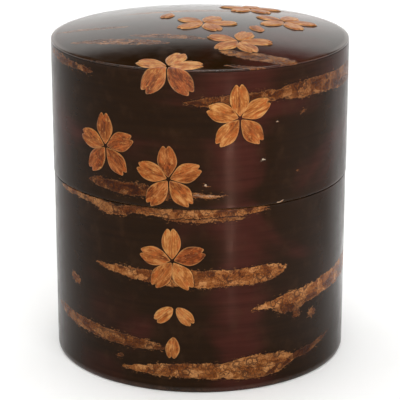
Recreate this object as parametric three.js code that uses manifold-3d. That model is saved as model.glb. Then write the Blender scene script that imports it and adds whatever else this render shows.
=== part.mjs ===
// Tea caddy covered in polished cherry bark, of the straight-sided kind with a slightly domed lid.
// The body and the lid are one wrapped veneer tube cut in two. An inner sleeve glued in the body
// stands up out of it and the lid slides down over the sleeve. An inner lid with a knob closes the
// sleeve's mouth. Cherry petals of thin light bark are laid on the lid and on the body.
// Millimetres, +Z up, the front faces -Y. The origin is the centre of the foot, where it stands.
import * as THREE from "three";
import { mergeVertices } from "three/addons/utils/BufferGeometryUtils.js";
import Module from "manifold-3d";

// Overall sizes
const lidRadius = 41;
const bodyHeight = 51.9; // foot to the body's mouth
const lidHeight = 37.2; // the lid's lower edge to its upper rim
const domeRise = 3.9; // how far the middle of the top stands above the rim
const lidStep = 0.15; // how far the lid stands out past the body

// Thicknesses of the sheets, tubes and boards
const barkThickness = 0.5;
const thinBarkThickness = 0.4; // bark on the sleeve and on the inner lid
const liningThickness = 0.3;
const bodyTubeWall = 2;
const sleeveWall = 1.2;
const baseBoardThickness = 4;
const lidBoardEdge = 3; // thickness of the domed board at its edge
const innerLidFlange = 2;
const innerLidPlug = 4; // how deep the inner lid's plug goes into the sleeve

// Clearances
const glueLine = 0.1; // between two pieces glued face to face
const restGap = 0.1; // under a piece that only rests on another
const mouthGap = 0.25; // between the lid's lower edge and the body's mouth
const slideClearance = 0.15; // between the sleeve's bark and the lid's lining, on the radius
const plugClearance = 0.25; // between the inner lid's plug and the sleeve's lining, on the radius
const flangeInset = 0.35; // how far the inner lid's flange stays inside the sleeve's outer face
const knobHeadroom = 4; // between the knob and the lid's ceiling
const footLift = 0.15; // the side bark ends just above what the caddy stands on

// Edges and seams
const footRounding = 0.6;
const rimRounding = 0.35;
const mouthBevel = 0.2;
const sleeveBevel = 0.4; // lets the lid start down over the sleeve
const sheetSeam = 0.25; // gap where a wrapped sheet's two ends meet, at the back

// Knob
const knobRadius = 6;
const knobWaist = 3.4;
const knobHeight = 7;
const tenonRadius = 2.5;
const tenonLength = 1.4;

// Petals
const blossomReach = 8.9; // blossom's centre to its petals' tips
const petalFoot = 0.6; // blossom's centre to each petal's foot
const petalHalfWidth = 2.55;
const petalThickness = 0.35;
const petalNotch = 0.8;
const looseScale = 0.72; // a loose petal's size against a blossom's petal
const foldedScale = 1.12; // the petals folded over the rim are cut longer

const sides = 48; // flats round every turned piece
const roundingSteps = 3;

// Radii of the body, from the outside in
const bodyRadius = lidRadius - lidStep;
const bodyTubeOuter = bodyRadius - barkThickness - glueLine;
const bodyTubeInner = bodyTubeOuter - bodyTubeWall;
const sleeveOuter = bodyTubeInner - glueLine;
const sleeveInner = sleeveOuter - sleeveWall;
const chamberLiningOuter = sleeveInner - glueLine;
const chamberRadius = chamberLiningOuter - liningThickness;

// Radii of the lid, which is sized on its inside by the sleeve's bark
const sleeveBarkInner = sleeveOuter + glueLine;
const sleeveBarkOuter = sleeveBarkInner + thinBarkThickness;
const lidLiningInner = sleeveBarkOuter + slideClearance;
const lidLiningOuter = lidLiningInner + liningThickness;
const lidTubeInner = lidLiningOuter + glueLine;
const lidTubeOuter = lidRadius - barkThickness - glueLine;

// Heights of the body's floor
const baseBoardBottom = barkThickness + glueLine;
const floorBottom = baseBoardBottom + baseBoardThickness + glueLine;
const floorTop = floorBottom + liningThickness;

// Heights of the lid, from its rim down to its ceiling
const lidBottom = bodyHeight + mouthGap;
const rimHeight = lidBottom + lidHeight;
const lidBoardTop = rimHeight - barkThickness - glueLine; // at the board's edge
const lidBoardBottom = lidBoardTop - lidBoardEdge;
const lidTubeTop = lidBoardBottom - glueLine;
const ceilingHeight = lidTubeTop - liningThickness;

// Heights of the inner lid, which leaves the knob its room under the ceiling
const innerLidTop = ceilingHeight - knobHeadroom - knobHeight;
const innerBoardTop = innerLidTop - thinBarkThickness - glueLine;
const flangeBottom = innerBoardTop - innerLidFlange;
const plugBottom = flangeBottom - innerLidPlug;
const sleeveRim = flangeBottom - restGap;

const domeSphere = (lidRadius ** 2 + domeRise ** 2) / (2 * domeRise);

// Height of the lid's domed top at a distance from the axis.
function domeHeight(radius) {
  return rimHeight + domeRise - domeSphere + Math.sqrt(domeSphere ** 2 - radius ** 2);
}

const finish = (color, roughness) => new THREE.MeshStandardMaterial({ color, roughness, metalness: 0 });
const darkBark = finish(0x2c1812, 0.2);
const lightBark = finish(0xb97b4a, 0.35);
const veneer = finish(0xb08a5e, 0.6);
const turnedWood = finish(0x6b4028, 0.3);
const lining = finish(0x7a4a30, 0.45);

const caddy = new THREE.Group();
const body = new THREE.Group();
const lid = new THREE.Group();
const innerLid = new THREE.Group();
caddy.add(body, lid, innerLid);

function add(group, name, geometry, material) {
  const mesh = new THREE.Mesh(geometry, material);
  mesh.name = name;
  group.add(mesh);
}

const wasm = await Module();
wasm.setup();

function toSolid(geometry) {
  const bare = geometry.clone();
  bare.deleteAttribute("normal");
  bare.deleteAttribute("uv");
  const merged = mergeVertices(bare, 1e-4);
  return new wasm.Manifold(
    new wasm.Mesh({
      numProp: 3,
      vertProperties: merged.attributes.position.array,
      triVerts: new Uint32Array(merged.index.array),
    }),
  );
}

function toGeometry(solid) {
  const mesh = solid.getMesh();
  const geometry = new THREE.BufferGeometry();
  geometry.setAttribute("position", new THREE.BufferAttribute(mesh.vertProperties, 3));
  geometry.setIndex(new THREE.BufferAttribute(mesh.triVerts, 1));
  return geometry;
}

// A piece turned about Z. Its outline is [radius, height] points with the solid on their left.
// It starts and ends on the axis, or closes on itself.
function turned(outline) {
  const open = outline[0][0] === 0;
  const points = outline.map(([radius, height]) => new THREE.Vector2(radius, height));
  if (!open) points.push(points[0].clone());
  return new THREE.LatheGeometry(points, sides).rotateX(Math.PI / 2);
}

const ring = (inner, outer, bottom, top) =>
  turned([[inner, bottom], [outer, bottom], [outer, top], [inner, top]]);

const disc = (radius, bottom, top) => turned([[0, bottom], [radius, bottom], [radius, top], [0, top]]);

// A sheet wrapped into a tube, with a gap at the back where its two ends meet.
function wrapped(outline) {
  const reach = Math.max(...outline.map(([radius]) => radius)) + 1;
  const heights = outline.map(([, height]) => height);
  const bottom = Math.min(...heights) - 1;
  const top = Math.max(...heights) + 1;
  const gap = new THREE.BoxGeometry(sheetSeam, reach, top - bottom);
  gap.translate(0, reach / 2, (top + bottom) / 2);
  return toGeometry(toSolid(turned(outline)).subtract(toSolid(gap)));
}

// Points of a quarter-round corner, from one direction to another in degrees.
function corner(radius, height, rounding, from, to) {
  return Array.from({ length: roundingSteps + 1 }, (_, step) => {
    const angle = THREE.MathUtils.degToRad(from + ((to - from) * step) / roundingSteps);
    return [radius + rounding * Math.cos(angle), height + rounding * Math.sin(angle)];
  });
}

// Body tube and its bark. The bark's lower edge is rounded and its mouth bevelled.
add(body, "body_core", ring(bodyTubeInner, bodyTubeOuter, baseBoardBottom, bodyHeight), veneer);

const bodyBarkInner = bodyRadius - barkThickness;
add(
  body,
  "body_bark",
  wrapped([
    [bodyBarkInner, footLift],
    ...corner(bodyRadius - footRounding, footLift + footRounding, footRounding, -60, 0),
    [bodyRadius, bodyHeight - mouthBevel],
    [bodyRadius - mouthBevel, bodyHeight],
    [bodyBarkInner, bodyHeight],
  ]),
  darkBark,
);

add(body, "base_bark", disc(bodyTubeOuter, 0, barkThickness), darkBark);
add(
  body,
  "base_board",
  disc(bodyTubeInner - glueLine, baseBoardBottom, baseBoardBottom + baseBoardThickness),
  veneer,
);

// Sleeve, glued in the tube and standing on the base board, with bark where it stands out.
add(body, "sleeve_core", ring(sleeveInner, sleeveOuter, floorBottom, sleeveRim), veneer);
add(
  body,
  "sleeve_bark",
  wrapped([
    [sleeveBarkInner, bodyHeight + glueLine],
    [sleeveBarkOuter, bodyHeight + glueLine],
    [sleeveBarkOuter, sleeveRim - sleeveBevel],
    [sleeveBarkInner, sleeveRim],
  ]),
  darkBark,
);
const sleeveLiningOutline = [
  [chamberRadius, floorTop + glueLine],
  [chamberLiningOuter, floorTop + glueLine],
  [chamberLiningOuter, sleeveRim],
  [chamberRadius, sleeveRim],
];
add(body, "sleeve_lining", wrapped(sleeveLiningOutline), lining);
add(body, "floor_lining", disc(chamberLiningOuter, floorBottom, floorTop), lining);

// Lid tube, its bark and its lining.
add(lid, "lid_core", ring(lidTubeInner, lidTubeOuter, lidBottom, lidTubeTop), veneer);

const lidBarkInner = lidRadius - barkThickness;
add(
  lid,
  "lid_bark",
  wrapped([
    [lidBarkInner, lidBottom],
    [lidRadius - mouthBevel, lidBottom],
    [lidRadius, lidBottom + mouthBevel],
    [lidRadius, lidBoardTop],
    [lidBarkInner, lidBoardTop],
  ]),
  darkBark,
);
const lidLiningOutline = [
  [lidLiningInner + mouthBevel, lidBottom],
  [lidLiningOuter, lidBottom],
  [lidLiningOuter, ceilingHeight - glueLine],
  [lidLiningInner, ceilingHeight - glueLine],
  [lidLiningInner, lidBottom + mouthBevel],
];
add(lid, "lid_lining", wrapped(lidLiningOutline), lining);
add(lid, "lid_ceiling_lining", disc(lidTubeInner - glueLine, ceilingHeight, lidTubeTop), lining);

// The domed top, sampled from its edge to the axis, lowered by a depth below the bark's face.
function domeOutline(fromRadius, depth) {
  const steps = 5;
  return Array.from({ length: steps + 1 }, (_, step) => {
    const radius = fromRadius * (1 - step / steps);
    return [radius, domeHeight(radius) - depth];
  });
}

add(
  lid,
  "lid_board",
  turned([
    [0, lidBoardBottom],
    [lidTubeOuter, lidBoardBottom],
    ...domeOutline(lidTubeOuter, barkThickness + glueLine),
  ]),
  veneer,
);
add(
  lid,
  "lid_top_bark",
  turned([
    ...domeOutline(lidRadius - rimRounding, barkThickness).reverse(),
    [lidRadius, rimHeight - barkThickness],
    ...corner(lidRadius - rimRounding, rimHeight - rimRounding, rimRounding, 0, 75),
    ...domeOutline(lidRadius - 2 * rimRounding, 0),
  ]),
  darkBark,
);

// Inner lid: a board with its flange on the sleeve's rim and its plug in the sleeve's mouth.
const flangeRadius = sleeveBarkOuter - flangeInset;
const plugRadius = chamberRadius - plugClearance;
const tenonHole = tenonRadius + glueLine;
const tenonBottom = innerBoardTop - tenonLength;
add(
  innerLid,
  "inner_lid_board",
  turned([
    [0, plugBottom],
    [plugRadius, plugBottom],
    [plugRadius, flangeBottom],
    [flangeRadius, flangeBottom],
    [flangeRadius, innerBoardTop],
    [tenonHole, innerBoardTop],
    [tenonHole, tenonBottom - glueLine],
    [0, tenonBottom - glueLine],
  ]),
  turnedWood,
);
add(
  innerLid,
  "inner_lid_top_bark",
  ring(tenonHole, flangeRadius, innerBoardTop + glueLine, innerLidTop),
  darkBark,
);
const underBarkTop = plugBottom - glueLine;
add(innerLid, "inner_lid_under_bark", disc(plugRadius, underBarkTop - thinBarkThickness, underBarkTop), darkBark);

// Knob, turned with its tenon, a waisted foot and a rounded head.
const knobFoot = innerLidTop + glueLine;
const knobTop = innerLidTop + knobHeight;
const knobEdge = 1.6; // rounding of the knob's head
add(
  innerLid,
  "inner_lid_knob",
  turned([
    [0, tenonBottom],
    [tenonRadius, tenonBottom],
    [tenonRadius, knobFoot],
    [knobWaist + 1, knobFoot],
    [knobWaist, knobFoot + 1.4],
    [knobWaist, knobTop - 2.2 * knobEdge],
    ...corner(knobRadius - knobEdge, knobTop - knobEdge, knobEdge, -60, 75),
    [0, knobTop],
  ]),
  turnedWood,
);

// Where petals lie. Each surface takes s to the right and t upwards from the place that it
// starts at, and how far the point stands off the surface.
const under = glueLine;
const over = glueLine + petalThickness;

// A side face: along is the arc from the front line.
const sideFace = (radius, along, height) => (s, t, off) => {
  const turn = (along + s) / radius;
  return new THREE.Vector3(
    (radius + off) * Math.sin(turn),
    -(radius + off) * Math.cos(turn),
    height + t,
  );
};

const topFace = (x, y) => (s, t, off) => {
  const radius = Math.hypot(x + s, y + t);
  return new THREE.Vector3(x + s, y + t, domeHeight(radius) + off);
};

// Over the rim: the place is a little way in from the edge, and t runs from the side face up
// over the rim and on to the top. A point on the rim itself stands off both faces.
const overRim = (along, inset) => (s, t, off) => {
  const down = -t - inset;
  const onRim = Math.abs(down) < 1e-5;
  if (down > 0 && !onRim) return sideFace(lidRadius, along, rimHeight)(s, -down, off);
  const turn = (along + s) / lidRadius;
  const radius = lidRadius + down;
  const reach = onRim ? radius + off : radius;
  return new THREE.Vector3(reach * Math.sin(turn), -reach * Math.cos(turn), domeHeight(radius) + off);
};

// The flat of the top, near the rim, with s along the edge and t towards the axis.
const insideRim = (along, inset) => (s, t, off) => {
  const turn = along / lidRadius;
  const from = inset + t - lidRadius;
  const x = s * Math.cos(turn) - from * Math.sin(turn);
  const y = s * Math.sin(turn) + from * Math.cos(turn);
  return new THREE.Vector3(x, y, domeHeight(Math.hypot(x, y)) + off);
};

// Shares across a petal, from one edge over its two lobes and its notch to the other edge.
const across = [-1, -0.5, 0, 0.5, 1];
const petalLength = blossomReach - petalFoot;
const widthAt = (share) => petalHalfWidth * Math.sin(Math.PI * (0.02 + 0.78 * share));
const lengthAt = (side) => petalLength - petalNotch * (1 - Math.sin(Math.PI * Math.abs(side)));

// A petal as rows of [s, t] points, from its foot to its notched tip, heading at an angle in
// degrees from the right. Where it is folded over an edge at t = fold, its second row lies there.
function petalRows(heading, { foot = petalFoot, scale = 1, shares = [0, 0.3, 0.65, 1], fold = null }) {
  const angle = THREE.MathUtils.degToRad(heading);
  const point = (share, side) => {
    const long = foot + scale * share * lengthAt(side);
    const wide = scale * side * widthAt(share);
    return [
      long * Math.cos(angle) - wide * Math.sin(angle),
      long * Math.sin(angle) + wide * Math.cos(angle),
    ];
  };
  return shares.map((share, row) =>
    across.map((side) => point(fold !== null && row === 1 ? foldShare(point, side, fold) : share, side)),
  );
}

// The share of a petal's length at which it comes down to t = fold, found by halving.
function foldShare(point, side, fold) {
  let above = 0;
  let below = 1;
  for (let step = 0; step < 40; step++) {
    const middle = (above + below) / 2;
    if (point(middle, side)[1] > fold) above = middle;
    else below = middle;
  }
  return above;
}

// The closed solid between two surfaces over the same rows of points.
function layPetal(surface, rows) {
  const columns = across.length;
  const count = rows.length * columns;
  const vertices = [over, under].flatMap((off) => rows.flat().map(([s, t]) => surface(s, t, off)));
  const at = (row, column) => row * columns + column;
  const faces = [];
  const quad = (a, b, c, d) => faces.push(a, b, c, a, c, d);
  for (let row = 0; row < rows.length - 1; row++) {
    for (let column = 0; column < columns - 1; column++) {
      const loop = [at(row, column), at(row + 1, column), at(row + 1, column + 1), at(row, column + 1)];
      quad(...loop);
      quad(...loop.map((index) => index + count).reverse());
    }
  }
  const lastRow = rows.length - 1;
  const lastColumn = columns - 1;
  const rim = [];
  for (let row = 0; row < lastRow; row++) rim.push(at(row, 0));
  for (let column = 0; column < lastColumn; column++) rim.push(at(lastRow, column));
  for (let row = lastRow; row > 0; row--) rim.push(at(row, lastColumn));
  for (let column = lastColumn; column > 0; column--) rim.push(at(0, column));
  rim.forEach((from, step) => {
    const to = rim[(step + 1) % rim.length];
    quad(from, from + count, to + count, to);
  });
  const geometry = new THREE.BufferGeometry().setFromPoints(vertices);
  geometry.setIndex(faces);
  return geometry;
}

function addBlossom(group, name, surface, headings) {
  headings.forEach((heading, index) => {
    add(group, `${name}_petal_${index + 1}`, layPetal(surface, petalRows(heading, {})), lightBark);
  });
}

// A blossom whose petals share one node: they run into each other at its centre.
const joinTolerance = 0.02;

function addJoinedBlossom(group, name, surface, headings) {
  const foot = 0;
  const petals = headings.map((heading) => toSolid(layPetal(surface, petalRows(heading, { foot }))));
  const joined = petals.reduce((all, petal) => all.add(petal)).simplify(joinTolerance);
  add(group, name, toGeometry(joined), lightBark);
}

function addLoosePetal(group, name, surface, heading) {
  const foot = (-looseScale * petalLength) / 2;
  add(group, name, layPetal(surface, petalRows(heading, { foot, scale: looseScale })), lightBark);
}

// The petals' layout, in blossom reaches: along the arc from the front line, and up or down
// from the nearest edge. Headings are degrees anticlockwise from the right, seen face on.
const lidFace = (along, up) => sideFace(lidRadius, along * blossomReach, lidBottom + up * blossomReach);
const bodyFace = (along, down) =>
  sideFace(bodyRadius, along * blossomReach, bodyHeight - down * blossomReach);
const belowRim = (along, down) => sideFace(lidRadius, along * blossomReach, rimHeight - down * blossomReach);
const onTop = (x, y) => topFace(x * blossomReach, y * blossomReach);

addBlossom(lid, "lid_left_blossom", lidFace(-2.98, 1.67), [93, 166, 233, 312, 21]);
addBlossom(lid, "lid_seam_blossom", lidFace(-0.925, 0.9), [94, 160, 233, 310, 21]);
addBlossom(lid, "lid_right_blossom", belowRim(1.17, 1.455), [92, 161, 230, 311, 26]);
addBlossom(body, "body_blossom", bodyFace(-0.825, 1.607), [93, 168, 236, 303, 18]);
addLoosePetal(body, "body_loose_petal_left", bodyFace(-1.08, 3.315), 221);
addLoosePetal(body, "body_loose_petal_right", bodyFace(-0.465, 3.337), 312);
addLoosePetal(body, "body_loose_petal_low", bodyFace(-0.825, 4.37), 264);

// The blossom that lies over the rim: three petals on the top and two folded down the side.
const rimAlong = -0.966 * blossomReach;
const rimInset = 0.19 * blossomReach;
[79, 165, 15].forEach((heading, index) => {
  const rows = petalRows(heading, {});
  add(lid, `rim_blossom_petal_${index + 1}`, layPetal(insideRim(rimAlong, rimInset), rows), lightBark);
});
[232, 309].forEach((heading, index) => {
  const shares = [0, 0.22, 0.45, 0.72, 1];
  const rows = petalRows(heading, { scale: foldedScale, shares, fold: -rimInset });
  add(lid, `rim_blossom_petal_${index + 4}`, layPetal(overRim(rimAlong, rimInset), rows), lightBark);
});

addBlossom(lid, "top_front_blossom", onTop(1.157, -2.27), [73, 155, 229, 295, 3]);
addBlossom(lid, "top_middle_blossom", onTop(0.135, -0.337), [66, 140, 220, 294, 0]);
addJoinedBlossom(lid, "top_right_blossom", onTop(2.64, 0.45), [72, 145, 225, 295, 8]);
const backInset = 1.55; // the back blossom's centre to the edge, in blossom reaches
const backTurn = THREE.MathUtils.degToRad(58);
const backReach = lidRadius / blossomReach - backInset;
addJoinedBlossom(
  lid,
  "top_back_blossom",
  onTop(backReach * Math.cos(backTurn), backReach * Math.sin(backTurn)),
  [85, 160, 238, 302, 15],
);
addLoosePetal(lid, "top_loose_petal_left", onTop(-1.01, 0.84), 250);
addLoosePetal(lid, "top_loose_petal_right", onTop(1.74, -0.84), 110);

export default caddy;
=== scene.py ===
import math

import bpy
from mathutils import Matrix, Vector


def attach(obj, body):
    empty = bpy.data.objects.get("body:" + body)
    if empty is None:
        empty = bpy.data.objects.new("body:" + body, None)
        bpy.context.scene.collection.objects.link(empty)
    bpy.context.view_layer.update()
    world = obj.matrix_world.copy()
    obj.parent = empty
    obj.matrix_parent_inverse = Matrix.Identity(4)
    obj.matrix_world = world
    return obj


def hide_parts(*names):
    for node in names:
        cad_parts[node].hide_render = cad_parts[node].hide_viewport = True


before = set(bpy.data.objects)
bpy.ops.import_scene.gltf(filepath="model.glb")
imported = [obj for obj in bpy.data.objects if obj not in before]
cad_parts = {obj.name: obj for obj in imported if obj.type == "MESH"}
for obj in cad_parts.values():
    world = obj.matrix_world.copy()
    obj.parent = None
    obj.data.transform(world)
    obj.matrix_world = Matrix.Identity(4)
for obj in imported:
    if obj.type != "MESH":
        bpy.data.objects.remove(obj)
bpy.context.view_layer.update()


# ------------------------
# Body tube. Cherry veneer wrapped round a former and glued ply on ply into a 2 mm wall. The
# plies show as fine rings at the mouth. The tube of the body and of the lid are one, cut in two.

mm = 0.001
turn_steps = 192  # columns round every turned piece


def spans(node):
    """Inner radius, outer radius, lowest and highest point of a turned CAD piece, in mm."""
    corners = [vertex.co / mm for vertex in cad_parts[node].data.vertices]
    radii = [math.hypot(corner.x, corner.y) for corner in corners]
    heights = [corner.z for corner in corners]
    return min(radii), max(radii), min(heights), max(heights)


def along_to(start, end, distance):
    """The point that lies a distance from start towards end, never past the middle."""
    length = math.dist(start, end)
    share = min(distance / length, 0.48) if length else 0
    return [a + (b - a) * share for a, b in zip(start, end)]


def softened(corners, wear_fade=0.7):
    """An outline of (radius, height, wear) points from corners of (radius, height, rounding, wear).
    Each corner gets an arc, and its wear fades out over a short way on both sides of it."""
    open_outline = corners[0][0] == 0
    outline = []
    for index, (radius, height, rounding, wear) in enumerate(corners):
        on_axis = open_outline and index in (0, len(corners) - 1)
        if on_axis or rounding == 0:
            outline.append((radius, height, 0.0 if on_axis else wear))
            continue
        here = (radius, height)
        before = corners[index - 1][:2]
        after = corners[(index + 1) % len(corners)][:2]
        start = along_to(here, before, rounding)
        end = along_to(here, after, rounding)
        outline.append((*along_to(here, before, rounding + wear_fade), 0.0))
        arc_steps = 5
        for step in range(arc_steps + 1):
            share = step / arc_steps
            weights = ((1 - share) ** 2, 2 * share * (1 - share), share ** 2)
            point = [sum(w * p[axis] for w, p in zip(weights, (start, here, end))) for axis in (0, 1)]
            outline.append((*point, wear))
        outline.append((*along_to(here, after, rounding + wear_fade), 0.0))
    return outline


def bring_in(name, data):
    """An object of its own in the scene."""
    made = bpy.data.objects.new(name, data)
    bpy.context.scene.collection.objects.link(made)
    return made


def turned(name, outline, gap=0.0):
    """A mesh turned about Z from an outline of (radius, height, wear) points in mm, the solid on
    their left. It starts and ends on the axis, or closes on itself. With a gap it is a wrapped
    sheet, whose two ends stand that far apart at the back."""
    open_outline = outline[0][0] == 0
    rows = outline[1:-1] if open_outline else outline
    columns = turn_steps + 1 if gap else turn_steps
    vertices = []
    worn = []
    for radius, height, wear in rows:
        half_gap = gap / 2 / radius
        for column in range(columns):
            turn = -math.pi + half_gap + (2 * math.pi - 2 * half_gap) * column / turn_steps
            vertices.append((radius * math.sin(turn), -radius * math.cos(turn), height))
            worn.append(wear)
    faces = []
    row_pairs = len(rows) - 1 if open_outline else len(rows)
    for row in range(row_pairs):
        low = row * columns
        high = (row + 1) % len(rows) * columns
        for column in range(turn_steps):
            after = (column + 1) % columns
            faces.append((low + column, low + after, high + after, high + column))
    if open_outline:
        last = (len(rows) - 1) * columns
        for ring, height in ((0, outline[0][1]), (last, outline[-1][1])):
            pole = len(vertices)
            vertices.append((0, 0, height))
            worn.append(0.0)
            for column in range(columns):
                edge = (ring + column, ring + (column + 1) % columns)
                faces.append((*(edge if ring else edge[::-1]), pole))
    if gap:
        faces.append(tuple(row * columns for row in range(len(rows))))
        faces.append(tuple(row * columns + turn_steps for row in reversed(range(len(rows)))))
    mesh = bpy.data.meshes.new(name)
    mesh.from_pydata([Vector(vertex) * mm for vertex in vertices], [], faces)
    mesh.attributes.new("worn", "FLOAT", "POINT").data.foreach_set("value", worn)
    mesh.shade_smooth()
    mesh.set_sharp_from_angle(angle=math.radians(40))
    return bring_in(name, mesh)


def cut_square(node, *softness):
    """The outline of a turned CAD piece with four corners, from the rounding and wear of each:
    inner and outer at the bottom, outer and inner at the top. A disc has only the outer two."""
    inner, outer, bottom, top = spans(node)
    if len(softness) == 2:
        inner = 0
        softness = ((0, 0.0), *softness, (0, 0.0))
    places = ((inner, bottom), (outer, bottom), (outer, top), (inner, top))
    return softened([(*place, *soft) for place, soft in zip(places, softness)])


def fit(piece, material, body, slot, *nodes):
    """The piece takes the place of CAD nodes on a body, in a material. Its slot is not used."""
    piece.data.materials.append(material)
    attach(piece, body)
    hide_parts(*nodes)
    return piece


bench = {}  # holds the shader tree that the helpers below work on, until the next one is started


def feed(socket, value):
    """Links another node's output to a socket, or sets the socket's own value."""
    if isinstance(value, bpy.types.NodeSocket):
        bench["tree"].links.new(value, socket)
    else:
        socket.default_value = value


def put(kind, inputs=None, **settings):
    """Adds a shader node. Its inputs are values or other nodes' outputs."""
    made = bench["tree"].nodes.new("ShaderNode" + kind)
    for setting, value in settings.items():
        setattr(made, setting, value)
    for socket, value in (inputs or {}).items():
        feed(made.inputs[socket], value)
    return made


def calculate(operation, *values, clamp=False):
    """The output of a Math node."""
    return put("Math", dict(enumerate(values)), operation=operation, use_clamp=clamp).outputs[0]


def times(*values, clamp=False):
    return calculate("MULTIPLY", *values, clamp=clamp)


def plus(*values):
    return calculate("ADD", *values)


def less(*values):
    return calculate("SUBTRACT", *values)


def larger(*values):
    return calculate("MAXIMUM", *values)


def vector_of(operation, *vectors):
    return put("VectorMath", dict(enumerate(vectors)), operation=operation).outputs[0]


def split(vector):
    return put("SeparateXYZ", {0: vector}).outputs


def joined(*values):
    return put("CombineXYZ", dict(enumerate(values))).outputs[0]


def between(value, low, high, new_low=0.0, new_high=1.0):
    """Eases a value from one range to another, held at both ends."""
    inputs = {"Value": value, "From Min": low, "From Max": high, "To Min": new_low, "To Max": new_high}
    return put("MapRange", inputs, interpolation_type="SMOOTHSTEP").outputs["Result"]


def noise(place, stretch, detail=3.0, roughness=0.55, distortion=0.0):
    """Noise over a place in mm, with so many lumps to the mm along each direction."""
    inputs = {"Vector": vector_of("MULTIPLY", place, stretch), "Scale": 1.0, "Detail": detail,
              "Roughness": roughness, "Distortion": distortion}
    return put("TexNoise", inputs).outputs["Fac"]


def blend(share, first, second, way="MIX"):
    """The output of a colour Mix node."""
    mixed = put("Mix", data_type="RGBA", blend_type=way)
    for socket, value in ((0, share), (6, first), (7, second)):
        feed(mixed.inputs[socket], (*value, 1.0) if isinstance(value, tuple) else value)
    return mixed.outputs[2]


def start_group(name, inputs, outputs):
    """A shader node group with named inputs and outputs."""
    group = bpy.data.node_groups.new(name, "ShaderNodeTree")
    bench["tree"] = group
    kinds = {"value": "NodeSocketFloat", "colour": "NodeSocketColor", "vector": "NodeSocketVector"}
    for labels, way in ((inputs, "INPUT"), (outputs, "OUTPUT")):
        for label, kind in labels.items():
            group.interface.new_socket(label, in_out=way, socket_type=kinds[kind])
    given = group.nodes.new("NodeGroupInput").outputs
    result = group.nodes.new("NodeGroupOutput").inputs
    return group, given, result


def use_group(group, inputs):
    """Places a group, and gives its outputs."""
    made = bench["tree"].nodes.new("ShaderNodeGroup")
    made.node_tree = group
    for socket, value in inputs.items():
        feed(made.inputs[socket], value)
    return made.outputs


def start_material(name, **constants):
    """A material with one Principled shader, and the constants set on its own sockets."""
    material = bpy.data.materials.new(name)
    material.use_nodes = True
    bench["tree"] = material.node_tree
    shader = material.node_tree.nodes["Principled BSDF"]
    for socket, value in constants.items():
        shader.inputs[socket.replace("_", " ")].default_value = value
    return material, shader


def finish_material(shader, colour, roughness, height, bump_distance):
    """Links colour, roughness and a bump of the height, in mm, to the shader."""
    bump = put("Bump", {"Strength": 1.0, "Distance": bump_distance * mm, "Height": height})
    feed(shader.inputs["Base Color"], colour)
    feed(shader.inputs["Roughness"], roughness)
    feed(shader.inputs["Normal"], bump.outputs["Normal"])


def in_mm(position):
    return vector_of("MULTIPLY", position, (1 / mm,) * 3)


def from_axis(x, y):
    """Distance from the caddy's axis."""
    squares = plus(calculate("POWER", x, 2.0), calculate("POWER", y, 2.0))
    return calculate("SQRT", squares)


# Where a point lies on a wrapped sheet, in mm: X round the sheet from the front, Y up, Z outwards.
sheet_place, given, result = start_group("sheet place", {"Position": "vector"}, {"Place": "vector"})
sheet_radius = 41.0
x, y, z = split(in_mm(given["Position"]))
radius = from_axis(x, y)
turn = calculate("ARCTAN2", x, times(y, -1.0))
round_sheet = times(turn, sheet_radius)
feed(result["Place"], joined(round_sheet, z, radius))

# Where a point lies on a flat sheet, in mm.
flat_place, given, result = start_group("flat place", {"Position": "vector"}, {"Place": "vector"})
feed(result["Place"], in_mm(given["Position"]))

# Wear on edges: patchy where the piece is worn, none elsewhere.
edge_wear, given, result = start_group(
    "edge wear", {"Worn": "value", "Place": "vector", "Amount": "value"}, {"Mask": "value"}
)
patches = between(noise(given["Place"], (0.5, 0.5, 0.5), 5.0, 0.7), 0.38, 0.66)
rubbed = times(given["Worn"], patches)
feed(result["Mask"], times(rubbed, given["Amount"], clamp=True))


def place_on(place_group):
    """Where the point lies on a wrapped or a flat sheet, in mm."""
    position = put("TexCoord").outputs["Object"]
    return use_group(place_group, {"Position": position})["Place"]


def wear_on(place, amount):
    """The mesh's own wear, and the patchy mask of where that has rubbed the surface."""
    worn = put("Attribute", attribute_name="worn").outputs["Fac"]
    mask = use_group(edge_wear, {"Worn": worn, "Place": place, "Amount": amount})["Mask"]
    return worn, mask


# Straight wood grain: long streaks along X, fine pores, and a height for the bump.
wood_grain, given, result = start_group(
    "wood grain",
    {"Place": "vector", "Light": "colour", "Dark": "colour"},
    {"Color": "colour", "Height": "value"},
)
streaks = noise(given["Place"], (0.035, 0.75, 0.75), 6.0, 0.62, 0.4)
pores = noise(given["Place"], (0.5, 7.0, 7.0), 3.0, 0.6)
figure = noise(given["Place"], (0.02, 0.09, 0.09), 2.0, 0.5, 1.2)
mixed = plus(times(streaks, 0.7), times(figure, 0.3))
body_tone = blend(between(mixed, 0.34, 0.66), given["Dark"], given["Light"])
pore_mask = between(pores, 0.5, 0.68, 0.0, 0.35)
feed(result["Color"], blend(pore_mask, body_tone, (0.07, 0.035, 0.018)))
feed(result["Height"], less(streaks, pore_mask))

# Veneer: pale matte wood, with its glue lines showing as rings where the plies end.
veneer, shader = start_material("veneer", Specular_IOR_Level=0.35)
place = place_on(sheet_place)
grain = use_group(
    wood_grain, {"Place": place, "Light": (0.52, 0.33, 0.17, 1), "Dark": (0.33, 0.18, 0.085, 1)},
)
ply_thickness = 0.45
across_plies = split(place)[2]
ply_wander = times(noise(place, (0.08, 0.08, 0.08)), 0.35)
ply_phase = times(plus(across_plies, ply_wander), 2 * math.pi / ply_thickness)
up = split(put("NewGeometry").outputs["Normal"])[2]
on_the_end = between(calculate("ABSOLUTE", up), 0.6, 0.9)
glue_lines = between(calculate("SINE", ply_phase), 0.72, 0.98)
glue_mask = times(glue_lines, on_the_end)
_, rubbed = wear_on(place, 0.5)
colour = blend(times(glue_mask, 0.7), grain["Color"], (0.13, 0.055, 0.022))
colour = blend(rubbed, colour, (0.20, 0.105, 0.05))
roughness = between(grain["Height"], 0.2, 0.7, 0.62, 0.5)
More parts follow.
